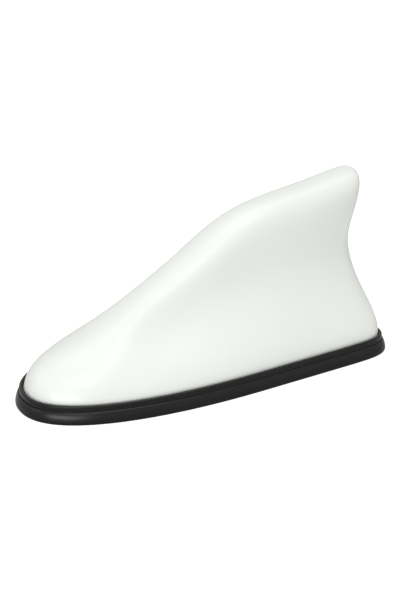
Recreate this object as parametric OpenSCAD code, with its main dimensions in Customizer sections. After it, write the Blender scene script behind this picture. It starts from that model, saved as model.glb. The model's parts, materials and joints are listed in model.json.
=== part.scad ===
// Shark fin aerial for a car roof, of the kind that is stuck on.
// The roof is the plane z = 0, the nose points to -X and the fin's tip to +X.

/* [Cover] */
// Length of the painted cover at its foot
cover_l = 153; // [138:1:178]
// Width of the painted cover at its foot
cover_w = 62.4; // [57:0.2:70]
// Height of the fin above the roof
fin_h = 73.6; // [65:0.2:85]
// Distance from the nose to the widest part of the foot
nose_l = 93.5; // [84:0.5:104]
// Squareness of the nose in plan, where 2 is an ellipse
nose_n = 2.23; // [2:0.01:3]
// Squareness of the tail in plan, where 2 is an ellipse
tail_n = 12; // [6:0.5:12]
// Wall of the moulding
wall = 2.4; // [2:0.1:2.8]

/* [Skirt] */
// Distance that the skirt's roll stands out past the cover
roll_out = 3.5; // [2.8:0.1:4]
// Height of the roll above the roof
roll_h = 5.5; // [5:0.1:6]
// Height of the roll's widest line above the roof
roll_low = 1.1; // [0.8:0.1:2]
// Thickness of the lip round the cover's foot
lip_t = 1.8; // [1.4:0.1:2.2]
// Height of the lip above the roof
lip_h = 7.9; // [7.5:0.1:8.5]
// Height by which the lip's top falls towards the cover
lip_dip = 0.8; // [0.4:0.1:1.2]
// Thickness of the skirt's floor under the cover
floor_t = 1.6; // [1.2:0.1:2]
// Distance that the floor reaches in under the cover
floor_in = 4.2; // [3.6:0.1:4.4]

/* [Base plate] */
// Thickness of the plate's edge over the skirt's floor
plate_t = 2; // [1.6:0.1:2.6]
// Thickness of the adhesive pad
pad_t = 1.2; // [0.8:0.1:1.4]
// Height of the wall that locates the cover on the plate
rail_h = 1.6; // [1:0.1:2]
// Thickness of that wall
rail_t = 1.6; // [1.2:0.1:2]
// Height of the raised seats under the cover's screw bosses
seat_h = 2; // [1.4:0.1:2.6]
// Height of the posts that carry the circuit board
post_h = 3.6; // [2.8:0.2:5]

/* [Cover screws] */
// Diameter of the cover screw's thread
screw_d = 2.9; // [2.5:0.1:3.2]
// Diameter of the cover screw's head
screw_head_d = 5.4; // [5:0.1:6]
// Height of the cover screw's head
screw_head_h = 1.6; // [1.2:0.1:1.8]
// Length of the cover screw under its head
screw_l = 8; // [7:0.5:9]
// Outer diameter of the bosses inside the cover
boss_d = 6.6; // [6.2:0.2:7.4]
// Distance of the cover screws in from the cover's foot
screw_in = 7.6; // [7.2:0.2:9]

/* [Circuit board] */
// Length of the circuit board
board_l = 62; // [60:1:63]
// Width of the circuit board
board_w = 31; // [29:0.5:32]
// Thickness of the circuit board
board_t = 1.6; // [1.2:0.1:2]
// Distance of the board's rear edge from the fin's neck, under the tip
neck_room = 16; // [15:0.5:18]
// Diameter of the small screws that hold the board
small_screw_d = 2.2; // [2:0.1:2.4]
// Length of the small screws under their heads
small_screw_l = 5; // [4.5:0.5:5.5]

/* [Aerial element] */
// Width of the sheet metal saddle on top of the carrier
saddle_w = 6.4; // [5.6:0.2:6.8]
// Thickness of the sheet metal
sheet_t = 0.5; // [0.4:0.1:0.6]
// Height of the saddle's sides
saddle_h = 15; // [10:0.5:17]
// Length of the saddle
saddle_l = 45; // [40:0.5:46]
// Gap between the saddle and the outside of the crest
crown_gap = 10; // [9:0.5:13]
// Thickness of the carrier's web
web_t = 2.4; // [2:0.1:3]
// Diameter of the coil's wire
wire_d = 0.8; // [0.6:0.1:1]
// Diameter of the rod that the coil is wound on
former_d = 6.4; // [5.6:0.2:6.8]
// Distance from one turn to the next
coil_pitch = 2.3; // [2:0.1:2.5]

/* [Cable entry] */
// Diameter of the lead that the grommet takes
lead_d = 3.2; // [2.8:0.1:3.8]
// Diameter of the hole in the plate
entry_d = 9; // [8:0.2:10]
// Distance of the cable entry from the board's front edge
entry_gap = 19; // [18:0.5:22]
// Height of the grommet's collar above the plate
collar_h = 6; // [4:0.5:7]

/* [Hidden] */
$fn = 48;

// Clearances: between faces that slide together, and round a thread
fit_gap = 0.1;
side_gap = 0.4;
hole_gap = 0.3;

// Height over which the lip laps the flanks above the cover's upright foot
lip_lap = 0.4;

// Heights that the stack shares
rim_z = floor_t;
plate_z = rim_z + plate_t;
seat_z = plate_z + seat_h;
foot_z = lip_h - lip_dip - lip_lap;
board_z = plate_z + post_h;
board_top = board_z + board_t;

// The foot of the cover in plan: a blunt nose and a squarer tail that meet at the widest point
nose_x = nose_l - cover_l / 2;
tail_l = cover_l - nose_l;
foot_steps = 120;
function reach(a) = a < 90 ? nose_l : tail_l;
function power(a) = a < 90 ? nose_n : tail_n;
function foot_polar(a) =
    let (n = power(a),
         r = pow(pow(abs(cos(a)) / reach(a), n) + pow(sin(a) / (cover_w / 2), n), -1 / n))
    [nose_x - r * cos(a), r * sin(a)];
foot_run = [for (i = [0:foot_steps]) foot_polar(i * 180 / foot_steps)];
function run_length(i) = i == 0 ? 0 : norm(foot_run[i] - foot_run[i - 1]);
function sums(i, total) =
    i > foot_steps ? [] : let (t = total + run_length(i)) concat([t], sums(i + 1, t));
foot_sums = sums(0, 0);
foot_share = foot_sums / foot_sums[foot_steps];
share_x = [for (i = [0:foot_steps]) [foot_share[i], foot_run[i][0]]];
share_y = [for (i = [0:foot_steps]) [foot_share[i], foot_run[i][1]]];

// Point on the foot by its share of the way round from nose to tail, moved outwards by out
function foot_normal(p) =
    let (front = p[0] < nose_x,
         n = front ? nose_n : tail_n,
         l = front ? nose_l : tail_l,
         u = abs(p[0] - nose_x) / l,
         v = p[1] / (cover_w / 2),
         g = [(front ? -1 : 1) * pow(u, n - 1) / l, pow(v, n - 1) / (cover_w / 2)])
    g / norm(g);
function foot(share, out) =
    let (p = [lookup(share, share_x), max(lookup(share, share_y), 0)])
    p + out * foot_normal(p);

// The crest from the nose over the tip and down the rear edge, as the control points of a
// spline. Each one has its shares of the cover's length and of the fin's height, the share of
// the way round the foot at which the section through it comes down, the blade's part of the
// foot's width there, and the power with which the flank flares out below the blade.
crest = [[-0.485, 0.265, 0.042, 0.547, 1.1], [-0.34, 0.35, 0.151, 0.578, 1.1],
         [-0.239, 0.46, 0.213, 0.454, 2.2], [-0.15, 0.562, 0.305, 0.361, 3.8],
         [-0.01, 0.722, 0.414, 0.361, 5.6], [0.13, 0.925, 0.518, 0.357, 7.4],
         [0.343, 0.956, 0.574, 0.379, 7.2], [0.485, 1.001, 0.615, 0.336, 7.8],
         [0.517, 1.005, 0.644, 0.315, 7.8], [0.523, 0.93, 0.703, 0.283, 6.6],
         [0.477, 0.703, 0.723, 0.289, 3.5], [0.487, 0.517, 0.763, 0.33, 2],
         [0.513, 0.284, 0.874, 0.578, 1.1]];
nose_foot = [-cover_l / 2, foot_z, 0, crest[0][3], crest[0][4]];
tail_foot = [cover_l / 2, foot_z, 1, crest[12][3], crest[12][4]];
crest_mm = [for (c = crest) [c[0] * cover_l, c[1] * fin_h, c[2], c[3], c[4]]];
controls = concat([nose_foot, nose_foot, nose_foot], crest_mm, [tail_foot, tail_foot, tail_foot]);
function spline_at(k, f) =
    (pow(1 - f, 3) * controls[k]
     + (3 * f * f * f - 6 * f * f + 4) * controls[k + 1]
     + (3 * f * f - 3 * f * f * f + 3 * f + 1) * controls[k + 2]
     + f * f * f * controls[k + 3]) / 6;
spans = len(controls) - 3;

// Stations along the crest, closer together where the foot turns its rear corners
corner_span = spans - 3;
function steps_in(k) = k == corner_span ? 10 : k < 3 || k > corner_span ? 4 : 3;
stops = [for (k = [0:spans - 1], j = [0:steps_in(k) - 1]) k + j / steps_in(k)];
stations = len(stops);
function station(i) =
    let (k = i < stations ? floor(stops[i]) : spans - 1)
    spline_at(k, i < stations ? stops[i] - k : 1);
ridge = [for (i = [0:stations]) station(i)];
peak_z = max([for (r = ridge) r[1]]);
peak = [for (i = [0:stations]) if (ridge[i][1] == peak_z) i][0];
crest_line = [for (i = [0:peak]) [ridge[i][0], ridge[i][1]]];
// The neck is the foremost place of the rear edge. The parts inside are placed from it.
neck_x = round(min([for (i = [peak:stations]) ridge[i][0]]));
board_end = neck_x - neck_room;
board_x = board_end - board_l;
entry_x = board_x - entry_gap;

// The crest moved inwards, square to itself
function ridge_in(i, inset) =
    let (t = i == 0 ? [0, 1] : i == stations ? [0, -1]
             : [ridge[i + 1][0] - ridge[i - 1][0], ridge[i + 1][1] - ridge[i - 1][1]],
         u = t / norm(t))
    [ridge[i][0] + u[1] * inset, ridge[i][1] - u[0] * inset];

// One section of the fin from the foot (q = 0) to the crest (q = 1): a blade with a rounded
// edge, on a foot that flares out. Near nose and tail the flare is a dome.
cap_sweep = 78;
least_blade = 0.1;
function section(i, inset, cap_steps, flank_steps) =
    let (r = ridge_in(i, inset),
         b = foot(ridge[i][2], -inset),
         c = norm([r[0] - b[0], r[1] - foot_z]),
         t = max(ridge[i][3] * foot(ridge[i][2], 0)[1] - inset, b[1] * least_blade),
         m = sqrt(4 + pow(2 * c / t, 2)),
         k = ridge[i][4],
         q_cap = pow(pow(cos(cap_sweep), 2), 1 / m),
         flank = [for (j = [0:flank_steps - 1]) q_cap * j / flank_steps],
         cap = [for (j = [0:cap_steps])
             pow(1 - pow(sin(cap_sweep * (1 - j / cap_steps)), 2), 1 / m)])
    [for (q = concat(flank, cap))
        let (half = t * sqrt(max(1 - pow(q, m), 0)) + (b[1] - t) * pow(1 - q * q, k))
        [b[0] + (r[0] - b[0]) * q, half, foot_z + (r[1] - foot_z) * q]];

// The whole skin: the two ends are an upright edge each, and every station between them runs
// from the near edge at z = low over the crest to the far edge
function column(s, low) =
    let (last = len(s) - 1)
    concat([[s[0][0], -s[0][1], low]],
           [for (p = s) [p[0], -p[1], p[2]]],
           [for (j = [last - 1:-1:0]) s[j]],
           [[s[0][0], s[0][1], low]]);
function skin(inset, low, cap_steps, flank_steps) =
    concat([[inset - cover_l / 2, 0, low], [inset - cover_l / 2, 0, foot_z]],
           [for (i = [1:stations - 1])
               each column(section(i, inset, cap_steps, flank_steps), low)],
           [[cover_l / 2 - inset, 0, low], [cover_l / 2 - inset, 0, foot_z]]);
function width(cap_steps, flank_steps) = 2 * (cap_steps + flank_steps) + 3;
function at(i, j, w) =
    let (end = j == 0 || j == w - 1 ? 0 : 1)
    i == 0 ? end : i == stations ? 2 + (stations - 1) * w + end : 2 + (i - 1) * w + j;
function real(t) = t[0] != t[1] && t[1] != t[2] && t[0] != t[2];
function skin_faces(w) =
    [for (i = [0:stations - 1], j = [0:w - 2])
        each [for (t = [[at(i, j, w), at(i + 1, j + 1, w), at(i + 1, j, w)],
                        [at(i, j, w), at(i, j + 1, w), at(i + 1, j + 1, w)]])
            if (real(t)) t]];
function turned(faces, shift) = [for (f = faces) [f[2] + shift, f[1] + shift, f[0] + shift]];

// A solid of the fin's outer form, moved in by inset, down to z = low
module fin_solid(inset, low) {
    cap_steps = 3;
    flank_steps = 4;
    w = width(cap_steps, flank_steps);
    edge = concat([for (i = [0:stations]) at(i, 0, w)],
                  [for (i = [stations - 1:-1:1]) at(i, w - 1, w)]);
    polyhedron(skin(inset, low, cap_steps, flank_steps), concat(skin_faces(w), [edge]));
}

// The moulded shell: an outer and an inner skin joined by the flat rim
module fin_shell() {
    cap_out = 5;
    flank_out = 6;
    cap_in = 3;
    flank_in = 4;
    w = width(cap_out, flank_out);
    v = width(cap_in, flank_in);
    outer = skin(0, rim_z, cap_out, flank_out);
    inner = skin(wall, rim_z, cap_in, flank_in);
    n = len(outer);
    rim = [for (i = [0:stations - 1])
        each [[at(i, 0, w), at(i + 1, 0, w), n + at(i + 1, 0, v), n + at(i, 0, v)],
              [at(i + 1, w - 1, w), at(i, w - 1, w), n + at(i, v - 1, v),
               n + at(i + 1, v - 1, v)]]];
    polyhedron(concat(outer, inner), concat(skin_faces(w), turned(skin_faces(v), n), rim));
}

// Places of the cover screws: three along each side, set in from the foot
screw_shares = [0.16, 0.46, 0.8];
screw_spots = [for (s = screw_shares, side = [-1, 1])
    let (p = foot(s, -screw_in)) [p[0], side * p[1]]];

// Bosses for the cover screws, each with a web out to the wall, up to the crown
boss_web_t = 1.6;
boss_web_gap = 1.4;
pilot_d = screw_d - 0.6;
module cover_bosses() {
    for (p = screw_spots) {
        translate([p[0], p[1], seat_z]) cylinder(d = boss_d, h = fin_h);
        translate([p[0] - boss_web_t / 2, min(p[1], p[1] * 2), plate_z + rail_h + boss_web_gap])
            cube([boss_web_t, abs(p[1]), fin_h]);
    }
}
module cover_pilots() {
    for (p = screw_spots)
        translate([p[0], p[1], seat_z - 1]) cylinder(d = pilot_d, h = screw_l - 1);
}
module fin_cover() {
    color("white") difference() {
        union() {
            fin_shell();
            intersection() {
                cover_bosses();
                fin_solid(wall / 2, rim_z);
            }
        }
        cover_pilots();
    }
}

// The skirt's section: the floor under the cover, the roll that rests on the roof and leans in
// towards its top, a fine groove, and the thin lip that hugs the cover's foot
roll_w = roll_out - lip_t;
roll_under = 0.6;
skirt_section = concat(
    [[-floor_in, floor_t], [-floor_in, 0], [roll_out - roll_under, 0],
     [roll_out - roll_under * 0.3, roll_low * 0.3]],
    [for (t = [0:12:72])
        [lip_t + roll_w * cos(t), roll_low + (roll_h - roll_low) * sin(t)]],
    [[lip_t + 0.2, roll_h - 0.1], [lip_t, roll_h + 0.2], [lip_t - 0.1, lip_h - 0.3],
     [lip_t - 0.5, lip_h], [fit_gap, lip_h - lip_dip], [fit_gap, floor_t]]);
module rubber_skirt() {
    m = len(skirt_section);
    shares = [for (i = [0:stations]) ridge[i][2]];
    near = [for (i = [0:stations]) [shares[i], -1]];
    far = [for (i = [stations - 1:-1:1]) [shares[i], 1]];
    loop = concat(near, far);
    n = len(loop);
    points = [for (s = loop, c = skirt_section)
        let (p = foot(s[0], c[0])) [p[0], s[1] * p[1], c[1]]];
    faces = [for (i = [0:n - 1], j = [0:m - 1])
        let (a = i * m + j, b = i * m + (j + 1) % m,
             c = (i + 1) % n * m + (j + 1) % m, d = (i + 1) % n * m + j)
        each [[a, b, c], [a, c, d]]];
    color([0.11, 0.11, 0.12]) polyhedron(points, faces);
}

// The foot's outline moved in by inset, as a flat shape. Round a rear corner that is tighter
// than the inset, the points would fold back on themselves: one is left out where a later one
// lies further forward, or an earlier one behind the widest point lies further in.
function unfolded(run) =
    [for (i = [0:len(run) - 1])
        let (p = run[i],
             behind = [for (j = [i:len(run) - 1]) run[j][0]],
             before = [for (j = [0:i]) if (run[j][0] > nose_x || j == i) run[j][1]])
        if (p[0] <= min(behind) && (p[0] < nose_x || p[1] <= min(before))) p];
module foot_shape(inset) {
    near = unfolded([for (i = [0:stations]) foot(ridge[i][2], -inset)]);
    polygon(concat([for (p = near) [p[0], -p[1]]],
                   [for (i = [len(near) - 2:-1:1]) near[i]]));
}
module slab(inset, low, high) {
    translate([0, 0, low]) linear_extrude(high - low) foot_shape(inset);
}

// Base plate: its edge lies on the skirt's floor, its middle drops into the skirt's opening
edge_in = wall + side_gap;
drop_in = floor_in + side_gap;
seat_d = boss_d + 2;
sink_d = screw_head_d + 2 * hole_gap;
sink_z = pad_t + screw_head_h + 0.2;
rib_t = 1.6;
rib_h = 1.8;
rib_shares = [0.1, 0.2];
module nose_ribs() {
    spine_end = entry_x - entry_d;
    translate([-cover_l / 2, -rib_t / 2, plate_z]) cube([cover_l / 2 + spine_end, rib_t, rib_h]);
    for (s = rib_shares)
        translate([foot(s, 0)[0], -cover_w / 2, plate_z]) cube([rib_t, cover_w, rib_h]);
}
module base_plate() {
    color([0.16, 0.17, 0.18]) difference() {
        union() {
            slab(edge_in, rim_z, plate_z);
            slab(drop_in, pad_t, rim_z);
            difference() {
                slab(edge_in, plate_z, plate_z + rail_h);
                slab(edge_in + rail_t, plate_z - 1, plate_z + rail_h + 1);
            }
            for (p = screw_spots)
                translate([p[0], p[1], plate_z]) cylinder(d = seat_d, h = seat_h);
            board_posts(small_screw_d * 2.6, plate_z, board_z);
            clamp_base();
            intersection() {
                nose_ribs();
                slab(edge_in + rail_t / 2, plate_z - 1, board_z);
            }
        }
        for (p = screw_spots) translate([p[0], p[1], pad_t - 1]) {
            cylinder(d = screw_d + 2 * hole_gap, h = seat_z);
            cylinder(d = sink_d, h = sink_z - pad_t + 1);
        }
        // room for the bosses where they stand against the locating wall
        for (p = screw_spots)
            translate([p[0], p[1], seat_z]) cylinder(d = boss_d + 2 * side_gap, h = rail_h);
        board_posts(small_screw_d - 0.4, board_z - small_screw_l + 1, board_z + 1);
        clamp_pilots();
        translate([entry_x, 0, 0]) cylinder(d = entry_d, h = plate_z + 1);
    }
}

// Circuit board and the places of what stands on it
board_inset = 3.4;
board_holes = [for (x = [board_x + board_inset, board_end - board_inset],
                    y = [board_inset - board_w / 2, board_w / 2 - board_inset]) [x, y]];
foot_pad_l = 9;
socket_l = 6;
carrier_x1 = board_end - foot_pad_l;
pad_gap = 3;
carrier_x0 = board_x + socket_l + pad_gap + foot_pad_l;
coil_in = 16;
coil_x = carrier_x0 + coil_in;
carrier_holes = [[carrier_x0 - foot_pad_l / 2, 0], [carrier_x1 + foot_pad_l / 2, 0]];
module board_posts(d, low, high) {
    for (p = concat(board_holes, carrier_holes))
        translate([p[0], p[1], low]) cylinder(d = d, h = high - low);
}
module rounded(l, w, r) {
    translate([r, 0]) square([l - 2 * r, w]);
    translate([0, r]) square([l, w - 2 * r]);
    for (x = [r, l - r], y = [r, w - r]) translate([x, y]) circle(r);
}
module amplifier_board() {
    color([0.1, 0.36, 0.2]) difference() {
        translate([board_x, -board_w / 2, board_z])
            linear_extrude(board_t) rounded(board_l, board_w, 1.5);
        for (p = concat(board_holes, carrier_holes))
            translate([p[0], p[1], board_z - 1])
                cylinder(d = small_screw_d + 2 * hole_gap, h = board_t + 2);
    }
}

// A pan head screw that points down, with the underside of its head at the origin
head_round = 0.45;
module screw(d, l, head_d, head_h) {
    tip = d * 0.8;
    rotate_extrude() polygon([
        [0, -l], [d * 0.15, -l], [d / 2, -l + tip], [d / 2, 0], [head_d / 2, 0],
        [head_d / 2, head_h * head_round], [head_d * 0.36, head_h], [0, head_h]]);
}
module crossed(size, head_h) {
    difference() {
        children();
        for (a = [0, 90]) rotate(a)
            translate([-size / 2, -size / 8, head_h * 0.5]) cube([size, size / 4, head_h]);
    }
}
module cover_screws() {
    color("silver") for (p = screw_spots) translate([p[0], p[1], sink_z]) rotate([180, 0, 0])
        crossed(screw_head_d * 0.55, screw_head_h)
            screw(screw_d - 0.7, screw_l, screw_head_d, screw_head_h);
}
small_head_d = small_screw_d * 1.9;
small_head_h = small_screw_d * 0.6;
small_core = small_screw_d - 0.5;
module small_screw(z, p, l) {
    translate([p[0], p[1], z]) crossed(small_head_d * 0.55, small_head_h)
        screw(small_core, l, small_head_d, small_head_h);
}
module board_screws() {
    color("silver") for (p = board_holes) small_screw(board_top, p, small_screw_l);
}

// Pressed steel lid over the sensitive half of the amplifier
can_l = 22;
can_w = 8.6;
can_h = 4.2;
can_t = 0.3;
can_x = carrier_x0 + 5;
can_y = -board_w / 2 + 1.6;
vent_d = 1.2;
module shield_can() {
    color([0.75, 0.76, 0.78]) difference() {
        translate([can_x, can_y, board_top]) cube([can_l, can_w, can_h]);
        translate([can_x + can_t, can_y + can_t, board_top - 1])
            cube([can_l - 2 * can_t, can_w - 2 * can_t, can_h - can_t + 1]);
        for (i = [0:5], j = [0:1])
            translate([can_x + 3.5 + i * 3, can_y + can_w / 2 - 1.5 + j * 3, board_top + can_h - 1])
                cylinder(d = vent_d, h = 2, $fn = 24);
    }
}

// Amplifier chip under the lid, with its eight legs
chip_l = 5;
chip_w = 4;
chip_h = 1.5;
module amplifier_chip() {
    x = can_x + can_l / 2 - chip_l / 2;
    y = can_y + can_w / 2 - chip_w / 2;
    leg = 0.4;
    color([0.12, 0.12, 0.13]) union() {
        translate([x, y, board_top + 0.2]) cube([chip_l, chip_w, chip_h]);
        for (i = [0:3], s = [-1, 1])
            translate([x + 0.5 + i * 1.2, y + (s < 0 ? -1 : chip_w), board_top])
                cube([leg, 1, leg]);
    }
}

// Ring cores of the filter, wound flat on the board
ring_d = 5;
ring_t = 1.6;
ring_y = board_w / 2 - 5.2;
ring_step = 6;
ring_back = 8;
ring_x = board_end - ring_back - 2 * ring_step;
module filter_coils() {
    color([0.72, 0.42, 0.2]) for (i = [0:2])
        translate([ring_x + i * ring_step, ring_y, board_top + ring_t / 2 + 0.05])
            rotate_extrude() translate([(ring_d - ring_t) / 2, 0]) circle(d = ring_t, $fn = 24);
}

// Upright capacitors near the board's front edge
cap_d = 5;
cap_h = 6;
cap_base = 0.8;
module capacitors() {
    color([0.7, 0.72, 0.75]) for (s = [-1, 1])
        translate([board_x + 11, s * (board_w / 2 - 7), board_top]) {
            translate([-cap_d / 2, -cap_d / 2, 0]) cube([cap_d, cap_d, cap_base]);
            cylinder(d = cap_d - 0.4, h = cap_h);
        }
}

// Socket on the board's front edge that the lead's plug pushes into
socket_d = 5;
socket_out = 3;
lead_z = board_top + socket_d / 2 + 0.4;
module cable_socket() {
    color([0.78, 0.66, 0.36]) difference() {
        union() {
            translate([board_x, -socket_d / 2 - 0.4, board_top])
                cube([socket_l, socket_d + 0.8, socket_d + 0.8]);
            translate([board_x - socket_out, 0, lead_z]) rotate([0, 90, 0])
                cylinder(d = socket_d, h = socket_out + 1);
        }
        translate([board_x - socket_out - 1, 0, lead_z]) rotate([0, 90, 0])
            cylinder(d = lead_d + 0.4, h = socket_out + socket_l - 1);
    }
}

// Rubber grommet that seals the lead where it passes through the plate
lead_bore_d = lead_d + 2 * fit_gap;
grommet_lip = 1.8;
grommet_out = 1;
module cable_grommet() {
    neck_d = entry_d - 2 * fit_gap;
    color([0.13, 0.13, 0.14]) translate([entry_x, 0, 0]) difference() {
        union() {
            translate([0, 0, pad_t - grommet_out])
                cylinder(d = entry_d + 2 * grommet_lip, h = grommet_out);
            translate([0, 0, pad_t - 0.5]) cylinder(d = neck_d, h = plate_z - pad_t + 1);
            translate([0, 0, plate_z]) cylinder(d = entry_d + 2 * grommet_lip, h = 1.2);
            translate([0, 0, plate_z + 1]) cylinder(d1 = neck_d, d2 = neck_d - 2.4, h = collar_h);
        }
        translate([0, 0, -1]) cylinder(d = lead_bore_d, h = plate_z + collar_h + 4);
    }
}
module adhesive_pad() {
    color([0.3, 0.3, 0.31]) difference() {
        slab(drop_in + 0.2, 0, pad_t);
        translate([entry_x, 0, -1]) cylinder(d = entry_d + 2 * grommet_lip + 1.6, h = pad_t + 2);
    }
}

// Saddle that holds the lead down between the grommet and the socket
clamp_gap = 9;
clamp_x = board_x - clamp_gap;
clamp_l = 6;
clamp_w = 18;
clamp_t = 3.2;
clamp_y = 6;
clamp_nip = 0.4;
clamp_post_d = 5.2;
module clamp_base() {
    for (s = [-1, 1]) translate([clamp_x, s * clamp_y, plate_z])
        cylinder(d = clamp_post_d, h = lead_z - clamp_nip - plate_z);
    difference() {
        translate([clamp_x - clamp_l / 2 + 1, -clamp_y, plate_z])
            cube([clamp_l - 2, 2 * clamp_y, lead_z - clamp_nip - plate_z]);
        translate([clamp_x - clamp_l, 0, lead_z]) rotate([0, 90, 0])
            cylinder(d = lead_d, h = 2 * clamp_l);
    }
}
module clamp_pilots() {
    for (s = [-1, 1]) translate([clamp_x, s * clamp_y, lead_z - clamp_nip - small_screw_l])
        cylinder(d = small_screw_d - 0.4, h = small_screw_l + 1);
}
module cable_clamp() {
    low = lead_z - clamp_nip;
    color([0.2, 0.21, 0.22]) difference() {
        translate([clamp_x - clamp_l / 2, -clamp_w / 2, low]) cube([clamp_l, clamp_w, clamp_t]);
        translate([clamp_x - clamp_l, 0, lead_z]) rotate([0, 90, 0])
            cylinder(d = lead_d, h = 2 * clamp_l);
        for (s = [-1, 1]) translate([clamp_x, s * clamp_y, low - 1])
            cylinder(d = small_screw_d + 2 * hole_gap, h = clamp_t + 2);
    }
}
module clamp_screws() {
    color("silver") for (s = [-1, 1])
        small_screw(lead_z - clamp_nip + clamp_t, [clamp_x, s * clamp_y],
                    clamp_t + small_screw_l - 1);
}

// The sheet metal saddle follows the crest, crown_gap below it
neck_gap = 8;
saddle_x1 = neck_x - neck_gap;
saddle_x0 = saddle_x1 - saddle_l;
saddle_steps = 6;
function crown_z(x) = lookup(x, crest_line) - crown_gap;
function crown_run(drop) = [for (i = [0:saddle_steps])
    let (x = saddle_x0 + saddle_l * i / saddle_steps) [x, crown_z(x) - drop]];
function backwards(l) = [for (i = [len(l) - 1:-1:0]) l[i]];
module upright(t) {
    translate([0, t / 2, 0]) rotate([90, 0, 0]) linear_extrude(t) children();
}
module top_load_plate() {
    color([0.8, 0.81, 0.83]) difference() {
        upright(saddle_w) polygon(concat(crown_run(0), backwards(crown_run(saddle_h))));
        upright(saddle_w - 2 * sheet_t)
            polygon(concat([[saddle_x0 - 1, crown_z(saddle_x0) - sheet_t]],
                           crown_run(sheet_t),
                           [[saddle_x1 + 1, crown_z(saddle_x1) - sheet_t],
                            [saddle_x1 + 1, crown_z(saddle_x1) - saddle_h - 1],
                            [saddle_x1, crown_z(saddle_x1) - saddle_h - 1]],
                           backwards(crown_run(saddle_h + 1)),
                           [[saddle_x0 - 1, crown_z(saddle_x0) - saddle_h - 1]]));
    }
}

// Rod for the coil, with a flange on the board and a pin up into the carrier's arm
former_flange_d = former_d + 3.2;
former_flange_t = 1.2;
former_pin_d = 3;
coil_rise = 5;
coil_low = board_top + coil_rise;
turn_steps = 10;
coil_r = (former_d / 2 + wire_d / 2 + fit_gap) / cos(180 / turn_steps);
arm_t = 5;
arm_gap = 0.6;
former_top = crown_z(coil_x) - saddle_h - arm_gap;
module coil_former() {
    color([0.9, 0.88, 0.8]) translate([coil_x, 0, board_top]) union() {
        cylinder(d = former_flange_d, h = former_flange_t);
        cylinder(d = former_d, h = former_top - board_top);
        cylinder(d = former_pin_d, h = former_top - board_top + arm_t - 1);
    }
}

// The coil's wire: up from the clip, round the rod, and up to the saddle's side
coil_sides = 6;
coil_lead = 2.4;
coil_turns = floor((former_top - coil_low - coil_lead / 2) / coil_pitch);
coil_path = concat(
    [[0, coil_r, coil_low - coil_lead]],
    [for (i = [0:coil_turns * turn_steps])
        let (a = 90 + 360 * i / turn_steps)
        [coil_r * cos(a), coil_r * sin(a), coil_low + coil_pitch * i / turn_steps]],
    [[0, coil_r, crown_z(coil_x) - saddle_h + coil_lead]]);
function along(i) =
    let (n = len(coil_path) - 1, d = coil_path[min(i + 1, n)] - coil_path[max(i - 1, 0)])
    d / norm(d);
function wire_ring(i) =
    let (t = along(i), out = abs(t[2]) > 0.9 ? [0, 1, 0] : [coil_path[i][0], coil_path[i][1], 0],
         u = cross(t, cross(out, t)), a = u / norm(u), b = cross(t, a))
    [for (j = [0:coil_sides - 1])
        coil_path[i] + wire_d / 2 * (a * cos(360 * j / coil_sides) + b * sin(360 * j / coil_sides))];
module coil_element() {
    n = len(coil_path);
    k = coil_sides;
    points = [for (i = [0:n - 1]) each wire_ring(i)];
    faces = concat(
        [[for (j = [0:k - 1]) j]],
        [for (i = [0:n - 2], j = [0:k - 1])
            let (a = i * k + j, b = i * k + (j + 1) % k) each [[a, a + k, b + k], [a, b + k, b]]],
        [[for (j = [k - 1:-1:0]) (n - 1) * k + j]]);
    color([0.75, 0.45, 0.25]) translate([coil_x, 0, 0]) polyhedron(points, faces);
}

// Spring clip on the board that the coil's lower end rests against
clip_w = 3;
clip_t = 0.4;
module contact_clip() {
    y0 = coil_r + wire_d / 2 + fit_gap;
    low = board_top;
    knee = low + former_flange_t + 0.4;
    top = coil_low - 0.4;
    color([0.85, 0.68, 0.35]) translate([coil_x + clip_w / 2, 0, 0])
        rotate([90, 0, -90]) linear_extrude(clip_w) polygon([
            [-y0 - 5, low], [-y0 - 1.6, low], [-y0 - 1.2, knee - 0.6], [-y0, knee + 0.6],
            [-y0, top], [-y0 - 0.8, top + 0.8], [-y0 - 1.1, top + 0.5],
            [-y0 - clip_t, top - 0.2], [-y0 - clip_t, knee + 0.8],
            [-y0 - 1.2 - clip_t, knee - 0.4], [-y0 - 1.6 - clip_t, low + clip_t],
            [-y0 - 5, low + clip_t]]);
}

// Carrier: an upright web with two feet on the board, an arm that steadies the rod, and a
// thicker rail at the top that fills the saddle
rail_w = saddle_w - 2 * sheet_t - 2 * fit_gap;
foot_pad_w = 9;
foot_pad_t = 2.2;
strut = 5;
window_gap = 1;
heel_h = 12;
rail_lap = 3;
module carrier_side() {
    top = crown_run(sheet_t);
    polygon(concat([[carrier_x0, board_top]], [[saddle_x0, crown_z(saddle_x0) - saddle_h]], top,
                   [[saddle_x1, crown_z(saddle_x1) - saddle_h],
                    [carrier_x1, board_top + heel_h], [carrier_x1, board_top]]));
}
coil_room = coil_r + wire_d / 2 + window_gap;
module carrier_windows() {
    translate([coil_x - coil_room, board_top - 1])
        square([2 * coil_room, former_top - board_top + 1]);
    rear_x = coil_x + coil_room + strut;
    rear_l = carrier_x1 - strut - rear_x;
    rear_z = board_top + foot_pad_t + 2;
    translate([rear_x, rear_z])
        polygon([[0, 0], [rear_l, 0], [rear_l, heel_h], [0, former_top - strut - rear_z]]);
}
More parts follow.
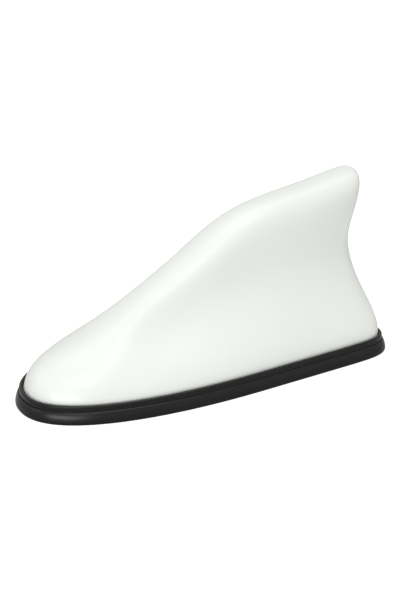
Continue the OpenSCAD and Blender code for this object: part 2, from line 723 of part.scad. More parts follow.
module element_carrier() {
    color([0.85, 0.84, 0.78]) difference() {
        union() {
            upright(web_t) difference() {
                carrier_side();
                carrier_windows();
            }
            upright(rail_w) polygon(concat(crown_run(sheet_t), backwards(crown_run(saddle_h - rail_lap))));
            translate([coil_x - coil_room - 1, -rail_w / 2, former_top])
                cube([2 * coil_room + 2, rail_w, arm_t]);
            for (p = carrier_holes)
                translate([p[0] - foot_pad_l / 2 - web_t, -foot_pad_w / 2, board_top])
                    cube([foot_pad_l + 2 * web_t, foot_pad_w, foot_pad_t]);
        }
        for (p = carrier_holes) translate([p[0], p[1], board_top - 1])
            cylinder(d = small_screw_d + 2 * hole_gap, h = foot_pad_t + 2);
        translate([coil_x, 0, former_top - 1])
            cylinder(d = former_pin_d + 2 * fit_gap, h = arm_t + 2);
    }
}
module carrier_screws() {
    color("silver") for (p = carrier_holes)
        small_screw(board_top + foot_pad_t, p, small_screw_l + 1);
}

fin_cover();
rubber_skirt();
base_plate();
adhesive_pad();
cover_screws();
amplifier_board();
board_screws();
shield_can();
amplifier_chip();
filter_coils();
capacitors();
cable_socket();
cable_grommet();
cable_clamp();
clamp_screws();
element_carrier();
carrier_screws();
top_load_plate();
coil_former();
coil_element();
contact_clip();
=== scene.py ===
"""Looks of a shark fin aerial: gloss white fin, black rubber skirt and the parts inside.

Everything is in metres. The nose points to -X, the fin's tip to +X, and the roof is z = 0.
"""
import json
import math
from functools import cache

import bmesh
import bpy
import numpy as np
from bpy.props import FloatProperty, FloatVectorProperty, IntProperty, PointerProperty
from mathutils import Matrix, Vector


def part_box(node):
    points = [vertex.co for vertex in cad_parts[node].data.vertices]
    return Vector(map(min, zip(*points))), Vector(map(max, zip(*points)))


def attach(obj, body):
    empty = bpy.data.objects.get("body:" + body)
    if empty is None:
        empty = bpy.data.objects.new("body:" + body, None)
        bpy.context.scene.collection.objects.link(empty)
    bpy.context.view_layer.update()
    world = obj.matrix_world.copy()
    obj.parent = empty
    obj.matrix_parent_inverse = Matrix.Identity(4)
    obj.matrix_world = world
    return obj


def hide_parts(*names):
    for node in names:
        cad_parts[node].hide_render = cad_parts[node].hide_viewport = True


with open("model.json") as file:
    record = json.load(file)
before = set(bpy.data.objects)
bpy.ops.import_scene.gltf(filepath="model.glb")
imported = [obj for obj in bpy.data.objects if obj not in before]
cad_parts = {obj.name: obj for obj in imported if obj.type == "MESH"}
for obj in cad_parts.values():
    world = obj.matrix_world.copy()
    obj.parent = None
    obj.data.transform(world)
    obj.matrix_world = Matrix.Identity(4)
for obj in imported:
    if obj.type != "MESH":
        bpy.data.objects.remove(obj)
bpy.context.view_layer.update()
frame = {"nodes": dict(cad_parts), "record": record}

bl_info = {
    "name": "Shark fin aerial",
    "version": (1, 0, 0),
    "blender": (4, 5, 0),
    "location": "View3D > Sidebar > Aerial",
    "description": "Builds a painted shark fin aerial with its rubber skirt and its inner parts",
    "category": "Object",
}

MM = 0.001
BODY = "root"

# Lengths that stand for none at all, and within which two points are one
TINY = 1e-7
MERGE = 1e-6

# The photograph's size and where the middle of the aerial's base lies in it, in pixels, and
# the width of the camera's sensor in millimetres
PHOTO_W = 401
PHOTO_H = 601
BASE_PX = (192.04, 364.25)
SENSOR = 36.0

# Sizes that the frame gives
COVER_LOW, COVER_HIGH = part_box("fin_cover")
SKIRT_LOW, SKIRT_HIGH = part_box("rubber_skirt")
COVER_L = -2 * COVER_LOW.x
COVER_W = COVER_HIGH.y - COVER_LOW.y
FIN_H = COVER_HIGH.z
RIM_Z = COVER_LOW.z
LIP_H = SKIRT_HIGH.z
ROLL_OUT = COVER_LOW.x - SKIRT_LOW.x

# Height by which the crest's shares are taken
CREST_H = 73.6 * MM

# The crest from the nose over the tip and down the rear edge: control points of a spline as
# shares of the cover's length and of the fin's height, each with the share of the way round
# the foot at which the section through it comes down, the blade's part of the foot's width
# there, and the power with which the flank flares out below the blade
CREST = ((-0.485, 0.265, 0.042, 0.547, 1.1), (-0.34, 0.35, 0.151, 0.578, 1.1),
         (-0.239, 0.46, 0.213, 0.454, 2.2), (-0.15, 0.562, 0.305, 0.361, 3.8),
         (-0.01, 0.722, 0.414, 0.361, 5.6), (0.13, 0.925, 0.518, 0.357, 7.4),
         (0.343, 0.956, 0.574, 0.379, 7.2), (0.485, 1.001, 0.615, 0.336, 7.8),
         (0.517, 1.005, 0.644, 0.315, 7.8), (0.523, 0.93, 0.703, 0.283, 6.6),
         (0.477, 0.703, 0.723, 0.289, 3.5), (0.487, 0.517, 0.763, 0.33, 2.0),
         (0.513, 0.284, 0.874, 0.578, 1.1))
# Angle over which each half of a section's cap is drawn, and the least share of the foot's
# width that the blade keeps
CAP_SWEEP = math.radians(82)
LEAST_BLADE = 0.1

# The skirt: the power of its roll's outline, the round of its lip's top, and the groove between
# them as points out from the lip's face and up from the roll's top, in millimetres
ROLL_POWER = 1.3
BEAD = 0.7 * MM
GROOVE = ((0.26, -0.26), (0.15, -0.35), (0.05, -0.42), (0.0, -0.3), (0.0, 0.1))

# Screws: the head's outline as shares of its diameter and of its height
HEAD = ((0.485, 0), (0.5, 0.08), (0.497, 0.36), (0.465, 0.62), (0.4, 0.83), (0.3, 0.96),
        (0.18, 1), (0, 1))
# Shares of the head's diameter: its height where it lies on top and where it lies below, the
# core's radius, and the length of the cross recess, whose width is a share of that length
TOP_HEAD_H, LOW_HEAD_H = 0.315, 0.296
CORE_R = 0.2
RECESS_L, RECESS_W = 0.55, 0.26
# Shares of the core's radius: the point's length and the radii at its ends, and the thread
POINT_L, POINT_R, SHANK_R = 1.6, 0.3, 0.98
THREAD_R, THREAD_PITCH = 0.24, 0.78
# Turn of the recess, and the share of its length by which the thread lies below the head
RECESS_TURN = 0.4
THREAD_DROP = 1.02

# How finely the foot, wires, ring cores and boss webs are drawn
FOOT_STEPS = 2880
WIRE_SIDES = 10
CORE_SIDES, CORE_STEPS = 16, 48
WEB_STEPS = 14

# The floor's radius and glow, and where each soft light stands, with its width and height
FLOOR_R = 8.0
FLOOR_GLOW = 0.68
LAMPS = {
    "key": ((-0.5, -0.75, 0.85), (0.5, 0.5)),
    "strip": ((-0.83, -0.74, 0.13), (0.7, 0.2)),
    "side": ((-1.15, 0.15, 0.5), (0.5, 0.5)),
    "front": ((0.05, -0.6, 1.15), (0.5, 0.5)),
    "top": ((0.1, 0.1, 1.2), (1.0, 1.0)),
}


class FinSizes(bpy.types.PropertyGroup):
    """Sizes of the painted fin"""
    nose_l: FloatProperty(name="Nose length", default=93.5 * MM, unit="LENGTH",
                          description="Distance from the nose to the widest part of the foot")
    nose_n: FloatProperty(name="Nose squareness", default=2.23,
                          description="Power of the nose's outline, where 2 is an ellipse")
    tail_n: FloatProperty(name="Tail squareness", default=12.0,
                          description="Power of the tail's outline, where 2 is an ellipse")
    wall: FloatProperty(name="Wall", default=2.4 * MM, unit="LENGTH",
                        description="Wall of the moulding")
    stations: IntProperty(name="Stations", default=220,
                          description="Number of sections along the crest")


class BossSizes(bpy.types.PropertyGroup):
    """Sizes of the bosses that the cover's screws go into"""
    boss_d: FloatProperty(name="Boss", default=6.6 * MM, unit="LENGTH",
                          description="Outer diameter of a boss")
    seat_z: FloatProperty(name="Seat", default=5.6 * MM, unit="LENGTH",
                          description="Height of a boss's lower end above the roof")
    pilot_d: FloatProperty(name="Pilot", default=2.3 * MM, unit="LENGTH",
                           description="Diameter of the hole for the screw")
    pilot_l: FloatProperty(name="Pilot depth", default=6.0 * MM, unit="LENGTH",
                           description="Depth of the hole for the screw")
    web_t: FloatProperty(name="Web", default=1.6 * MM, unit="LENGTH",
                         description="Thickness of the web from a boss to the wall")
    web_l: FloatProperty(name="Web length", default=6.2 * MM, unit="LENGTH",
                         description="Distance that the web reaches out from the boss's axis")
    web_z: FloatProperty(name="Web height", default=6.6 * MM, unit="LENGTH",
                         description="Height of the web's lower edge above the roof")


class SkirtSizes(bpy.types.PropertyGroup):
    """Sizes of the rubber skirt"""
    roll_h: FloatProperty(name="Roll height", default=5.5 * MM, unit="LENGTH",
                          description="Height of the roll above the roof")
    roll_low: FloatProperty(name="Roll's widest line", default=1.1 * MM, unit="LENGTH",
                            description="Height of the roll's widest line above the roof")
    lip_t: FloatProperty(name="Lip thickness", default=1.8 * MM, unit="LENGTH",
                         description="Thickness of the lip round the fin's foot")
    floor_in: FloatProperty(name="Floor reach", default=4.2 * MM, unit="LENGTH",
                            description="Distance that the floor reaches in under the fin")
    lip_dip: FloatProperty(name="Lip dip", default=0.8 * MM, unit="LENGTH",
                           description="Height by which the lip's top falls towards the fin")
    lip_lap: FloatProperty(name="Lip lap", default=0.4 * MM, unit="LENGTH",
                           description="Height over which the lip laps the fin's flanks")
    gap: FloatProperty(name="Lip clearance", default=0.1 * MM, unit="LENGTH",
                       description="Clearance between the lip and the fin")


class CoilSizes(bpy.types.PropertyGroup):
    """Sizes of the wound wires"""
    wire: FloatProperty(name="Wire", default=0.8 * MM, unit="LENGTH",
                        description="Diameter of the long coil's wire")
    pitch: FloatProperty(name="Pitch", default=2.3 * MM, unit="LENGTH",
                         description="Distance from one turn of the long coil to the next")
    lead: FloatProperty(name="Lead", default=2.4 * MM, unit="LENGTH",
                        description="Length of the straight lead at each end of the long coil")
    ring_wire: FloatProperty(name="Ring wire", default=0.24 * MM, unit="LENGTH",
                             description="Diameter of the wire on the ring cores")
    ring_loops: IntProperty(name="Ring loops", default=18,
                            description="Number of loops of wire on each ring core")


class Finishes(bpy.types.PropertyGroup):
    """Colours of the finishes, as linear values"""
    paint: FloatVectorProperty(name="White paint", subtype="COLOR", size=3,
                               default=(0.83, 0.858, 0.812),
                               description="Colour of the painted fin")
    rubber: FloatVectorProperty(name="Black rubber", subtype="COLOR", size=3,
                                default=(0.002, 0.002, 0.0022),
                                description="Colour of the moulded skirt")
    foam: FloatVectorProperty(name="Foam", subtype="COLOR", size=3,
                              default=(0.075, 0.075, 0.08),
                              description="Colour of the adhesive pad")
    board: FloatVectorProperty(name="Solder mask", subtype="COLOR", size=3,
                               default=(0.012, 0.14, 0.045),
                               description="Colour of the circuit board")


class StageSettings(bpy.types.PropertyGroup):
    """Camera and lights"""
    azimuth: FloatProperty(name="Azimuth", default=30.06,
                           description="Turn of the camera towards the nose, in degrees")
    elevation: FloatProperty(name="Elevation", default=29.0,
                             description="Height of the camera above the horizon, in degrees")
    distance: FloatProperty(name="Distance", default=0.84, unit="LENGTH",
                            description="Distance of the camera from the middle of the base")
    scale: FloatProperty(name="Picture scale", default=2376.0,
                         description="Pixels for one metre at the middle of the base")
    key_power: FloatProperty(name="Key light", default=2.2, unit="POWER",
                             description="Power of the soft light high by the nose")
    strip_power: FloatProperty(name="Strip light", default=3.8, unit="POWER",
                               description="Power of the long light low before the nose")
    side_power: FloatProperty(name="Side light", default=0.8, unit="POWER",
                              description="Power of the soft light beyond the nose")
    front_power: FloatProperty(name="Front light", default=1.9, unit="POWER",
                               description="Power of the soft light high before the flank")
    top_power: FloatProperty(name="Top light", default=5.4, unit="POWER",
                             description="Power of the soft light overhead")
    sky: FloatProperty(name="Sky", default=0.37,
                       description="Strength of the even light from all round")


# Node helpers

def link(tree, a, b):
    tree.links.new(a, b)


def feed(tree, socket, value):
    """Links a socket to another one, or sets it to a plain value"""
    if isinstance(value, bpy.types.NodeSocket):
        link(tree, value, socket)
    else:
        socket.default_value = value


def put(tree, node, **values):
    """Sets a node's properties and, by name, its inputs, to plain values or other sockets"""
    for name, value in values.items():
        if hasattr(node, name):
            setattr(node, name, value)
        else:
            feed(tree, node.inputs[name.replace("_", " ")], value)
    return node


def add(tree, kind, **values):
    return put(tree, tree.nodes.new(kind), **values)


def worked(tree, operation, *values):
    """The result of a math node on sockets or plain numbers"""
    node = add(tree, "ShaderNodeMath", operation=operation)
    for socket, value in zip(node.inputs, values):
        feed(tree, socket, value)
    return node.outputs[0]


def vector(tree, x, y, z):
    return add(tree, "ShaderNodeCombineXYZ", X=x, Y=y, Z=z).outputs[0]


def new_group(name, kind, inputs, outputs):
    """A node group with named sockets, with what it gets and what it gives"""
    tree = bpy.data.node_groups.new(name, kind)
    for label, socket, default in inputs:
        made = tree.interface.new_socket(label, in_out="INPUT", socket_type=socket)
        if default is not None:
            made.default_value = default
    for label, socket in outputs:
        tree.interface.new_socket(label, in_out="OUTPUT", socket_type=socket)
    enter, leave = tree.nodes.new("NodeGroupInput"), tree.nodes.new("NodeGroupOutput")
    return tree, enter.outputs, leave.inputs


# Effects that several finishes share

def moulded_grain():
    """Fine pitted grain of a moulding, as a height"""
    tree, get, give = new_group(
        "Moulded grain", "ShaderNodeTree",
        [("Vector", "NodeSocketVector", None), ("Scale", "NodeSocketFloat", 2500.0)],
        [("Height", "NodeSocketFloat")])
    pits = add(tree, "ShaderNodeTexVoronoi", feature="SMOOTH_F1", Vector=get["Vector"],
               Scale=get["Scale"])
    finer = worked(tree, "MULTIPLY", get["Scale"], 2.3)
    fine = add(tree, "ShaderNodeTexNoise", Detail=4.0, Roughness=0.6, Vector=get["Vector"],
               Scale=finer)
    both = worked(tree, "ADD", pits.outputs["Distance"], fine.outputs["Fac"])
    link(tree, both, give["Height"])
    return tree


def tone_drift():
    """A colour that drifts a little over the surface, and a mask of the drift"""
    tree, get, give = new_group(
        "Tone drift", "ShaderNodeTree",
        [("Vector", "NodeSocketVector", None), ("Colour", "NodeSocketColor", (1, 1, 1, 1)),
         ("Drift", "NodeSocketFloat", 0.05), ("Scale", "NodeSocketFloat", 40.0)],
        [("Colour", "NodeSocketColor"), ("Mask", "NodeSocketFloat")])
    broad = add(tree, "ShaderNodeTexNoise", Detail=3.0, Roughness=0.5, Vector=get["Vector"],
                Scale=get["Scale"])
    mask = add(tree, "ShaderNodeMapRange", From_Min=0.3, From_Max=0.7,
               Value=broad.outputs["Fac"]).outputs["Result"]
    left = worked(tree, "SUBTRACT", 1.0, worked(tree, "MULTIPLY", mask, get["Drift"]))
    tint = add(tree, "ShaderNodeVectorMath", operation="SCALE", Vector=get["Colour"],
               Scale=left)
    link(tree, tint.outputs[0], give["Colour"])
    link(tree, mask, give["Mask"])
    return tree


def drawn_lines():
    """Fine lines along X, as rolled or brushed metal has, as a height"""
    tree, get, give = new_group(
        "Drawn lines", "ShaderNodeTree",
        [("Vector", "NodeSocketVector", None), ("Scale", "NodeSocketFloat", 900.0),
         ("Stretch", "NodeSocketVector", (0.03, 1.0, 1.0))],
        [("Height", "NodeSocketFloat")])
    stretched = add(tree, "ShaderNodeVectorMath", operation="MULTIPLY")
    feed(tree, stretched.inputs[0], get["Vector"])
    feed(tree, stretched.inputs[1], get["Stretch"])
    lines = add(tree, "ShaderNodeTexNoise", Detail=5.0, Roughness=0.7,
                Vector=stretched.outputs[0], Scale=get["Scale"])
    link(tree, lines.outputs["Fac"], give["Height"])
    return tree


@cache
def effect(kind):
    """The shared node group of that kind, built on first use"""
    return {"grain": moulded_grain, "drift": tone_drift, "lines": drawn_lines}[kind]()


def finish(name, colour, roughness, metallic=0.0, specular=0.5, coat=0.0, coat_roughness=0.05,
           drift=(0.05, 40.0), rough_drift=0.06, grain=None, lines=None):
    """A material: drifting colour and roughness, a bumped grain or lines, and a coat.

    drift is the colour's drift and its pattern's scale. grain and lines are pairs of the
    pattern's scale and its depth in metres."""
    made = bpy.data.materials.new(name)
    made.use_nodes = True
    made.diffuse_color = (*colour, 1.0)
    tree = made.node_tree
    where = add(tree, "ShaderNodeTexCoord").outputs["Object"]
    tone = add(tree, "ShaderNodeGroup", node_tree=effect("drift"), Vector=where,
               Colour=(*colour, 1.0), Drift=drift[0], Scale=drift[1])
    rough = add(tree, "ShaderNodeMapRange", To_Min=roughness - rough_drift / 2,
                To_Max=roughness + rough_drift / 2, Value=tone.outputs["Mask"])
    shader = put(tree, tree.nodes["Principled BSDF"], Base_Color=tone.outputs["Colour"],
                 Metallic=metallic, Roughness=rough.outputs["Result"],
                 Specular_IOR_Level=specular, Coat_Weight=coat, Coat_Roughness=coat_roughness)
    pattern = grain or lines
    if pattern:
        scale, depth = pattern
        relief = add(tree, "ShaderNodeGroup", node_tree=effect("grain" if grain else "lines"),
                     Vector=where, Scale=scale)
        bump = add(tree, "ShaderNodeBump", Strength=1.0, Distance=depth,
                   Height=relief.outputs["Height"])
        link(tree, bump.outputs["Normal"], shader.inputs["Normal"])
    return made


FINISHES = {
    "white_paint": ("White paint", "paint", 0.36, dict(
        specular=0.4, coat=0.3, coat_roughness=0.22, drift=(0.012, 30.0), rough_drift=0.04,
        grain=(900.0, 0.004 * MM))),
    "black_rubber": ("Black rubber", "rubber", 0.27, dict(
        specular=0.29, drift=(0.25, 60.0), rough_drift=0.08, grain=(2200.0, 0.012 * MM))),
    "grey_foam": ("Grey foam", "foam", 0.8, dict(
        specular=0.2, drift=(0.3, 200.0), grain=(1600.0, 0.12 * MM))),
    "black_nylon": ("Black nylon", (0.028, 0.029, 0.031), 0.55, dict(
        drift=(0.2, 90.0), grain=(3000.0, 0.03 * MM))),
    "zinc_steel": ("Zinc steel", (0.62, 0.62, 0.6), 0.3, dict(
        metallic=1.0, drift=(0.18, 400.0), rough_drift=0.16, lines=(2500.0, 0.004 * MM))),
    "tinned_steel": ("Tinned steel", (0.7, 0.71, 0.72), 0.26, dict(
        metallic=1.0, drift=(0.15, 150.0), rough_drift=0.14, lines=(1500.0, 0.004 * MM))),
    "green_board": ("Green board", "board", 0.35, dict(
        coat=0.5, drift=(0.25, 300.0), lines=(1200.0, 0.01 * MM))),
    "chip_epoxy": ("Chip epoxy", (0.02, 0.02, 0.022), 0.6, dict(
        drift=(0.2, 500.0), grain=(6000.0, 0.01 * MM))),
    "ferrite": ("Ferrite", (0.06, 0.052, 0.05), 0.55, dict(
        drift=(0.25, 500.0), grain=(4000.0, 0.02 * MM))),
    "capacitor_can": ("Capacitor can", (0.72, 0.73, 0.75), 0.24, dict(
        metallic=1.0, drift=(0.1, 300.0), lines=(2000.0, 0.003 * MM))),
    "brass_part": ("Brass", (0.78, 0.56, 0.24), 0.24, dict(
        metallic=1.0, drift=(0.2, 300.0), rough_drift=0.14, lines=(2000.0, 0.003 * MM))),
    "copper_wire": ("Copper wire", (0.78, 0.33, 0.15), 0.22, dict(
        metallic=1.0, coat=0.6, drift=(0.18, 300.0), lines=(2000.0, 0.002 * MM))),
    "ivory_plastic": ("Ivory plastic", (0.66, 0.62, 0.5), 0.48, dict(
        drift=(0.08, 80.0), grain=(2500.0, 0.02 * MM))),
}


@cache
def material(slot):
    """The finish of one of the record's material slots, built on first use"""
    name, colour, roughness, rest = FINISHES[slot]
    if isinstance(colour, str):
        colour = tuple(getattr(bpy.context.scene.aerial_finishes, colour))
    return finish(name, colour, roughness, **rest)


def coat_mesh(data, slot):
    """Gives a mesh the finish of one slot and no other"""
    data.materials.clear()
    data.materials.append(material(slot))


# The fin's form

def spline(controls, count):
    """A uniform cubic B-spline with its ends tripled, at count + 1 even steps"""
    points = np.vstack([controls[:1], controls[:1], controls, controls[-1:], controls[-1:]])
    spans = len(points) - 3
    u = np.linspace(0, spans, count + 1)
    k = np.minimum(np.floor(u).astype(int), spans - 1)
    f = u - k
    weights = np.stack([(1 - f) ** 3, 3 * f ** 3 - 6 * f ** 2 + 4,
                        -3 * f ** 3 + 3 * f ** 2 + 3 * f + 1, f ** 3], 1) / 6
    return sum(weights[:, i:i + 1] * points[k + i] for i in range(4))


def foot_part(front):
    """Reach and power of the outline in the nose's part of the foot and in the tail's"""
    fin = bpy.context.scene.aerial_fin
    return (np.where(front, fin.nose_l, COVER_L - fin.nose_l),
            np.where(front, fin.nose_n, fin.tail_n))


def foot(share, out):
    """Points of half the foot at shares of the way from nose to tail, moved outwards by out"""
    nose_x = bpy.context.scene.aerial_fin.nose_l - COVER_L / 2
    half_w = COVER_W / 2
    a = np.linspace(0, math.pi, FOOT_STEPS + 1)
    reach, power = foot_part(a < math.pi / 2)
    r = (np.abs(np.cos(a) / reach) ** power
         + np.abs(np.sin(a) / half_w) ** power) ** (-1 / power)
    run_x, run_y = nose_x - r * np.cos(a), r * np.sin(a)
    run_y[0] = run_y[-1] = 0
    way = np.concatenate([[0], np.cumsum(np.hypot(np.diff(run_x), np.diff(run_y)))])
    way /= way[-1]
    x, y = np.interp(share, way, run_x), np.interp(share, way, run_y)
    front = x < nose_x
    reach, power = foot_part(front)
    gx = np.where(front, -1, 1) * (np.abs(x - nose_x) / reach) ** (power - 1) / reach
    gy = (y / half_w) ** (power - 1) / half_w
    size = np.hypot(gx, gy)
    return x + out * gx / size, y + out * gy / size


def foot_loop(steps, out):
    """Level points once round the foot moved outwards by out, the near side first"""
    x, y = foot(np.linspace(0, 1, steps + 1), out)
    y[0] = y[-1] = 0
    return np.stack([np.append(x, x[-2:0:-1]), np.append(-y, y[-2:0:-1]),
                     np.zeros(2 * steps)], 1)


def ridge_line(count):
    """The crest as x, z and share of the foot, from nose to tail"""
    skirt = bpy.context.scene.aerial_skirt
    foot_z = LIP_H - skirt.lip_dip - skirt.lip_lap
    inner = [(x * COVER_L, z * CREST_H, *rest) for x, z, *rest in CREST]
    nose = (-COVER_L / 2, foot_z, 0.0, *CREST[0][3:])
    tail = (COVER_L / 2, foot_z, 1.0, *CREST[-1][3:])
    return spline(np.array([nose, *inner, tail]), count), foot_z


def fin_skin(inset, cap_steps, flank_steps):
    """Grid of points of the fin's skin moved in by inset: stations by columns by x, y, z"""
    ridge, foot_z = ridge_line(bpy.context.scene.aerial_fin.stations)
    run = np.gradient(ridge[:, :2], axis=0)
    run[0], run[-1] = (0, 1), (0, -1)
    run /= np.linalg.norm(run, axis=1, keepdims=True)
    rx = ridge[:, 0] + run[:, 1] * inset
    rz = ridge[:, 1] - run[:, 0] * inset
    bx, by = foot(ridge[:, 2], -inset)
    by[0] = by[-1] = 0
    by = np.maximum(by, TINY)
    # c: from foot to crest; t: half the blade's width; m: how square the cap is; k: the flare
    c = np.hypot(rx - bx, rz - foot_z) + TINY
    t = np.maximum(ridge[:, 3] * foot(ridge[:, 2], 0)[1] - inset, LEAST_BLADE * by)
    m = np.sqrt(4 + (2 * c / t) ** 2)
    k = ridge[:, 4]
    q_cap = (math.cos(CAP_SWEEP) ** 2) ** (1 / m)
    flank = q_cap[:, None] * np.linspace(0, 1, flank_steps + 1)[None, :-1]
    turn = CAP_SWEEP * (1 - np.linspace(0, 1, cap_steps + 1))
    cap = (1 - np.sin(turn)[None] ** 2) ** (1 / m[:, None])
    q = np.concatenate([flank, cap], 1)
    half = (t[:, None] * np.sqrt(np.maximum(1 - q ** m[:, None], 0))
            + (by - t)[:, None] * (1 - np.minimum(q, 1) ** 2) ** k[:, None])
    x = bx[:, None] + (rx - bx)[:, None] * q
    z = foot_z + (rz - foot_z)[:, None] * q
    near = np.stack([x, -half, z], 2)
    far = np.stack([x, half, z], 2)[:, -2::-1]
    low_near = near[:, :1] * (1, 1, 0) + (0, 0, RIM_Z)
    low_far = far[:, -1:] * (1, 1, 0) + (0, 0, RIM_Z)
    return np.concatenate([low_near, near, far, low_far], 1)


# Meshes and objects

def grid_faces(rows, columns, start=0, turned=False):
    """Quads of a grid of points, its rows and columns open at their ends"""
    i, j = np.meshgrid(np.arange(rows - 1), np.arange(columns - 1), indexing="ij")
    a = start + (i * columns + j).ravel()
    quads = np.stack([a, a + columns, a + columns + 1, a + 1], 1)
    return quads[:, ::-1] if turned else quads


def new_object(name, data):
    made = bpy.data.objects.new(name, data)
    bpy.context.scene.collection.objects.link(made)
    return made


def clear(*helpers):
    """Removes objects that only served as another one's input"""
    for item in helpers:
        bpy.data.objects.remove(item)


def mesh_object(name, points, faces):
    """An object from points and faces, its doubled points merged"""
    data = bpy.data.meshes.new(name)
    data.from_pydata([tuple(p) for p in points], [], [tuple(f) for f in faces])
    work = bmesh.new()
    work.from_mesh(data)
    bmesh.ops.remove_doubles(work, verts=work.verts, dist=MERGE)
    bmesh.ops.dissolve_degenerate(work, edges=work.edges, dist=TINY)
    work.to_mesh(data)
    work.free()
    return new_object(name, data)


def point_mesh(name, points, ring=False):
    """A mesh of points, loose or joined in a ring by edges"""
    data = bpy.data.meshes.new(name)
    count = len(points)
    edges = [(i, (i + 1) % count) for i in range(count)] if ring else []
    data.from_pydata([tuple(p) for p in points], edges, [])
    return data


def lathe(name, profile, steps):
    """A mesh turned round Z from points of radius and height that start and end on the axis"""
    turn = np.linspace(0, 2 * np.pi, steps + 1)
    grid = np.array([[(r * np.cos(a), r * np.sin(a), z) for a in turn] for r, z in profile])
    return mesh_object(name, grid.reshape(-1, 3), grid_faces(*grid.shape[:2], turned=True))


def grow(name, slot, base, tree, **values):
    """A plain piece in a slot's finish, from what a geometry node group makes of a mesh"""
    piece = new_object(name, base)
    modifier = piece.modifiers.new(tree.name, "NODES")
    modifier.node_group = tree
    sockets = {i.name: i.identifier for i in tree.interface.items_tree
               if i.item_type == "SOCKET" and i.in_out == "INPUT"}
    for key, value in {**values, "Finish": material(slot)}.items():
        modifier[sockets[key.replace("_", " ")]] = value
    graph = bpy.context.evaluated_depsgraph_get()
    grown = bpy.data.meshes.new_from_object(piece.evaluated_get(graph), depsgraph=graph)
    piece.modifiers.remove(modifier)
    piece.data = grown
    return piece


def settle(piece, slot, *nodes, crease=40):
    """Finishes a piece: smooth but for edges sharper than crease degrees, with its slot's
    material and its body, and hides the CAD nodes it stands for"""
    data = piece.data
    data.polygons.foreach_set("use_smooth", [True] * len(data.polygons))
    data.set_sharp_from_angle(angle=math.radians(crease))
    coat_mesh(data, slot)
    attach(piece, BODY)
    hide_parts(*nodes)


# Geometry node groups

def geometry_tree(name, inputs):
    """A geometry node group with named inputs, the last of them the finish"""
    sockets = [("Geometry", "NodeSocketGeometry", None), *inputs,
               ("Finish", "NodeSocketMaterial", None)]
    return new_group(name, "GeometryNodeTree", sockets, [("Geometry", "NodeSocketGeometry")])


def close_tree(tree, get, give, geometry):
    """Ends a tree: its instances become real and take the finish"""
    real = add(tree, "GeometryNodeRealizeInstances", Geometry=geometry)
    paint = add(tree, "GeometryNodeSetMaterial", Geometry=real.outputs[0],
                Material=get["Finish"])
    link(tree, paint.outputs[0], give["Geometry"])
    return tree


def part_of(tree, socket):
    """The mesh of the object that comes from a socket"""
    return add(tree, "GeometryNodeObjectInfo", Object=socket).outputs["Geometry"]


def joined(tree, *geometries):
    join = add(tree, "GeometryNodeJoinGeometry")
    for geometry in geometries:
        link(tree, geometry, join.inputs[0])
    return join.outputs[0]


def moved(tree, geometry, **how):
    """The geometry moved by its Translation or turned by its Rotation"""
    return add(tree, "GeometryNodeTransform", Geometry=geometry, **how).outputs["Geometry"]


def set_on(tree, points, instance, **how):
    """A copy of an instance on every point"""
    return add(tree, "GeometryNodeInstanceOnPoints", Points=points, Instance=instance,
               **how).outputs["Instances"]


def circle(tree, radius, steps):
    return add(tree, "GeometryNodeCurvePrimitiveCircle", Resolution=steps,
               Radius=radius).outputs["Curve"]


def helix(tree, radius, turns, height, steps):
    """A helix up Z, with that many steps in a turn"""
    return add(tree, "GeometryNodeCurveSpiral", Resolution=steps, Rotations=turns,
               Start_Radius=radius, End_Radius=radius, Height=height).outputs["Curve"]


def wire(tree, curve, radius, sides):
    """A round wire along a curve, closed at its ends"""
    return add(tree, "GeometryNodeCurveToMesh", Curve=curve, Fill_Caps=True,
               Profile_Curve=circle(tree, radius, sides)).outputs["Mesh"]


def sweep_tree():
    """Sweeps a closed section round a level outline and keeps it upright"""
    tree, get, give = geometry_tree("Swept section", [("Section", "NodeSocketObject", None)])
    path = add(tree, "GeometryNodeMeshToCurve", Mesh=get["Geometry"])
    level = add(tree, "GeometryNodeSetCurveNormal", mode="Z_UP", Curve=path.outputs["Curve"])
    section = add(tree, "GeometryNodeMeshToCurve", Mesh=part_of(tree, get["Section"]))
    sweep = add(tree, "GeometryNodeCurveToMesh", Curve=level.outputs["Curve"],
                Profile_Curve=section.outputs["Curve"])
    return close_tree(tree, get, give, sweep.outputs["Mesh"])


def screw_tree():
    """Sets a turned and threaded screw with a cross recess on every point"""
    tree, get, give = geometry_tree("Screws", [
        ("Blank", "NodeSocketObject", None), ("Core", "NodeSocketFloat", 0.001),
        ("Thread", "NodeSocketFloat", 0.001), ("Pitch", "NodeSocketFloat", 0.001),
        ("Length", "NodeSocketFloat", 0.005), ("Head", "NodeSocketFloat", 0.004),
        ("Head height", "NodeSocketFloat", 0.001), ("Turn", "NodeSocketRotation", None)])
    cut = add(tree, "GeometryNodeMeshBoolean", operation="DIFFERENCE")
    link(tree, part_of(tree, get["Blank"]), cut.inputs["Mesh 1"])
    long = worked(tree, "MULTIPLY", get["Head"], RECESS_L)
    thin = worked(tree, "MULTIPLY", long, RECESS_W)
    top = vector(tree, 0, 0, get["Head height"])
    for size in ((long, thin), (thin, long)):
        cube = add(tree, "GeometryNodeMeshCube", Size=vector(tree, *size, get["Head height"]))
        link(tree, moved(tree, cube.outputs["Mesh"], Translation=top), cut.inputs["Mesh 2"])
    turns = worked(tree, "DIVIDE", get["Length"], get["Pitch"])
    curl = helix(tree, get["Core"], turns, get["Length"], steps=20)
    thread = wire(tree, curl, get["Thread"], sides=3)
    below = vector(tree, 0, 0, worked(tree, "MULTIPLY", get["Length"], -THREAD_DROP))
    screw = joined(tree, cut.outputs["Mesh"], moved(tree, thread, Translation=below))
    spread = set_on(tree, get["Geometry"], screw, Rotation=get["Turn"])
    return close_tree(tree, get, give, spread)


